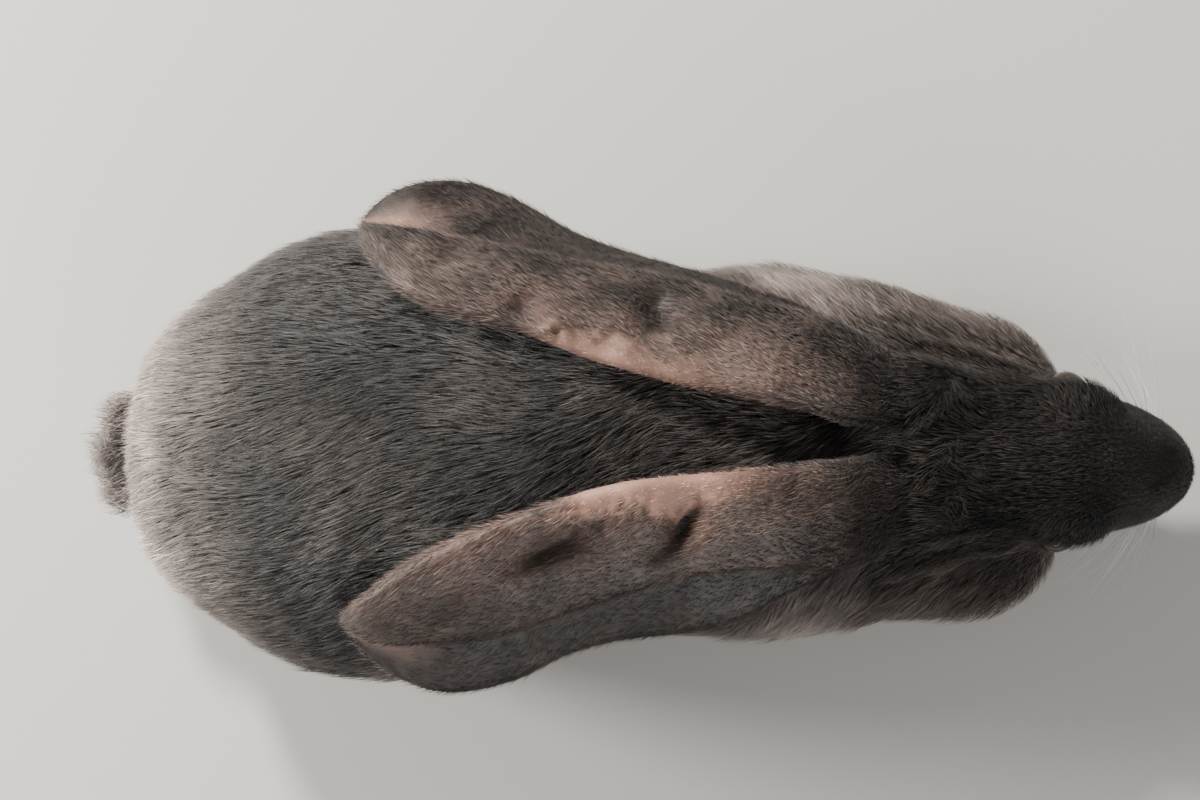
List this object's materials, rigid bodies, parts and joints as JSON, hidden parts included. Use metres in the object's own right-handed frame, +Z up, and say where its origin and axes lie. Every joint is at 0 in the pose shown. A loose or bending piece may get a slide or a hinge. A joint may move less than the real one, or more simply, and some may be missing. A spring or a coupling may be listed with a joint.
{
  "type": "rabbit",
  "caption": "Life-size still model of a large blue rabbit, crouched with its long ears laid back along its body.",
  "frame": {"origin": "on the floor, below the middle of the model's bounding box", "axes": "+X towards the nose, +Y towards the rabbit's left side, +Z up"},
  "size_m": [0.466, 0.204, 0.1765],
  "materials": {
    "coat": "short dense slate-grey fur with a soft sheen",
    "ear": "very short velvety brown-grey fur, thin and pinkish on the folds",
    "eye": "wet gloss",
    "claw": "horn with a dull gloss"
  },
  "bodies": {
    "root": {"claw_fore_left_1": "claw", "claw_fore_left_2": "claw", "claw_fore_left_3": "claw", "claw_fore_left_4": "claw", "claw_fore_right_1": "claw", "claw_fore_right_2": "claw", "claw_fore_right_3": "claw", "claw_fore_right_4": "claw", "claw_hind_left_1": "claw", "claw_hind_left_2": "claw", "claw_hind_left_3": "claw", "claw_hind_left_4": "claw", "claw_hind_right_1": "claw", "claw_hind_right_2": "claw", "claw_hind_right_3": "claw", "claw_hind_right_4": "claw", "ear_left": "ear", "ear_right": "ear", "eye_left": "eye", "eye_right": "eye", "fore_foot_left": "coat", "fore_foot_right": "coat", "fore_leg_left": "coat", "fore_leg_right": "coat", "head": "coat", "hind_foot_left": "coat", "hind_foot_right": "coat", "hind_leg_left": "coat", "hind_leg_right": "coat", "neck": "coat", "tail": "coat", "trunk": "coat"}
  },
  "joints": []
}
